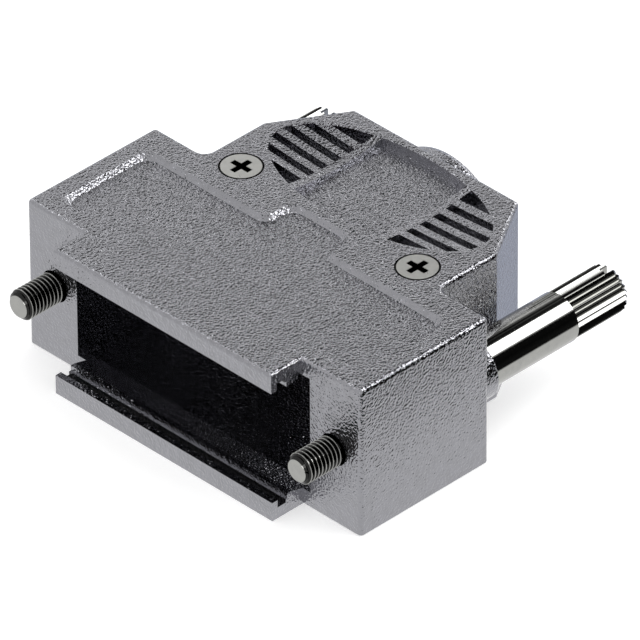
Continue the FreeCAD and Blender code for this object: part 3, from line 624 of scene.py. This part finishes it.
def add_floor():
    """A pale floor that keeps a soft shadow of the hood."""
    material, graph = new_material("floor")
    path = graph.node("ShaderNodeLightPath")
    matt = graph.node("ShaderNodeBsdfDiffuse", {}, {"Color": (*FLOOR_TONE, 1)})
    lift = graph.node("ShaderNodeEmission", {}, {"Color": (1, 1, 1, 1), "Strength": FLOOR_LIFT})
    lit = graph.node("ShaderNodeAddShader", {}, {0: matt, 1: lift})
    both = graph.node("ShaderNodeMixShader", {}, {0: path.out("Is Glossy Ray"), 1: lit,
                                                  2: mirrored_floor(graph)})
    graph.node("ShaderNodeOutputMaterial", {}, {"Surface": both})
    corners = [(-FLOOR_REACH, -FLOOR_REACH, 0), (FLOOR_REACH, -FLOOR_REACH, 0),
               (FLOOR_REACH, FLOOR_REACH, 0), (-FLOOR_REACH, FLOOR_REACH, 0)]
    mesh = bpy.data.meshes.new("floor")
    mesh.from_pydata(corners, [], [(0, 1, 2, 3)])
    mesh.materials.append(material)
    floor = bpy.data.objects.new("floor", mesh)
    bpy.context.scene.collection.objects.link(floor)


def studio_direction(azimuth, elevation):
    """Unit vector from the object: azimuth from +X towards +Y, elevation above the floor, in degrees."""
    flat = math.cos(math.radians(elevation))
    return Vector((flat * math.cos(math.radians(azimuth)), flat * math.sin(math.radians(azimuth)),
                   math.sin(math.radians(elevation))))


def facing(graph, aim, azimuth, elevation, near, far):
    """1 where a direction is within near degrees of the given one, fading to 0 at far degrees."""
    likeness = graph.node("ShaderNodeVectorMath", {"operation": "DOT_PRODUCT"},
                          {0: aim, 1: tuple(studio_direction(azimuth, elevation))}, output="Value")
    return ease(graph, likeness, math.cos(math.radians(far)), math.cos(math.radians(near)))


def tent_glow(graph):
    """Brightness over the tent: an even level, the dark and bright patches, and the folds of its cloth.

    The folds are strong only in FOLD_PATCH, which the hood's top mirrors in the photograph's view.
    """
    aim = graph.node("ShaderNodeVectorMath", {"operation": "NORMALIZE"}, {0: object_position(graph)})
    level = TENT_BRIGHTNESS
    for *patch, brightness in TENT_PATCHES:
        share = facing(graph, aim, *patch)
        level = level * (1 - share) + brightness * share
    folds = graph.node("ShaderNodeMapRange", {},
                       {0: noise(graph, aim, FOLD_SCALE, detail=0.0), 1: FOLD_LOW, 2: FOLD_HIGH,
                        3: -FOLD_SWING, 4: FOLD_SWING})
    strong = facing(graph, aim, *FOLD_PATCH) * (1 - FOLD_SWING_ELSEWHERE) + FOLD_SWING_ELSEWHERE
    return level * (folds * strong + 1)


def add_tent():
    """The studio's tent round the hood, hidden from everything but mirrored rays."""
    material, graph = new_material("tent")
    glow = graph.node("ShaderNodeEmission", {}, {"Color": tent_glow(graph), "Strength": 1.0})
    graph.node("ShaderNodeOutputMaterial", {}, {"Surface": glow})
    mesh = bpy.data.meshes.new("tent")
    builder = bmesh.new()
    bmesh.ops.create_uvsphere(builder, u_segments=48, v_segments=24, radius=TENT_RADIUS)
    builder.to_mesh(mesh)
    builder.free()
    mesh.materials.append(material)
    tent = bpy.data.objects.new("tent", mesh)
    bpy.context.scene.collection.objects.link(tent)
    tent.visible_camera = False
    tent.visible_diffuse = False
    tent.visible_shadow = False
    tent.visible_transmission = False


def add_soft_box():
    """A square soft box, high behind the hood on the right, which looks at it and isn't mirrored."""
    data = bpy.data.lights.new("soft_box", "AREA")
    data.size = LAMP_SIZE
    data.energy = LAMP_POWER
    lamp = bpy.data.objects.new("soft_box", data)
    away = studio_direction(LAMP_AZIMUTH, LAMP_ELEVATION)
    lamp.rotation_mode = "QUATERNION"
    lamp.rotation_quaternion = away.to_track_quat("Z", "Y")
    lamp.location = VIEW_PIVOT + away * LAMP_DISTANCE
    bpy.context.scene.collection.objects.link(lamp)
    lamp.visible_camera = False
    lamp.visible_glossy = False


CAST = cast_metal()
PLATE = bright_plate()
HEAD_STEEL = screw_head()
CLAMP_SCREW_STEEL = satin_steel("clamp_screw_steel", tone=(0.45, 0.45, 0.45), roughness=0.3)
RING_STEEL = satin_steel("ring_steel", tone=(0.15, 0.15, 0.16), roughness=0.4)
STRAP_STEEL = satin_steel("strap_steel", tone=(0.4, 0.4, 0.41), roughness=0.35)
JACKSCREW = jackscrew_tree()

dress("lower_shell", CAST)
dress("upper_shell", CAST)
dress("clamp_saddle", STRAP_STEEL)
for hand in HANDS:
    add_jackscrew(hand, JACKSCREW, PLATE)
    dress(hand + "_shell_screw", HEAD_STEEL)
    dress(hand + "_clamp_screw", CLAMP_SCREW_STEEL)
    dress(hand + "_retaining_ring", RING_STEEL)

add_camera()
add_world()
add_floor()
add_tent()
add_soft_box()
bpy.context.scene.view_settings.view_transform = "Standard"
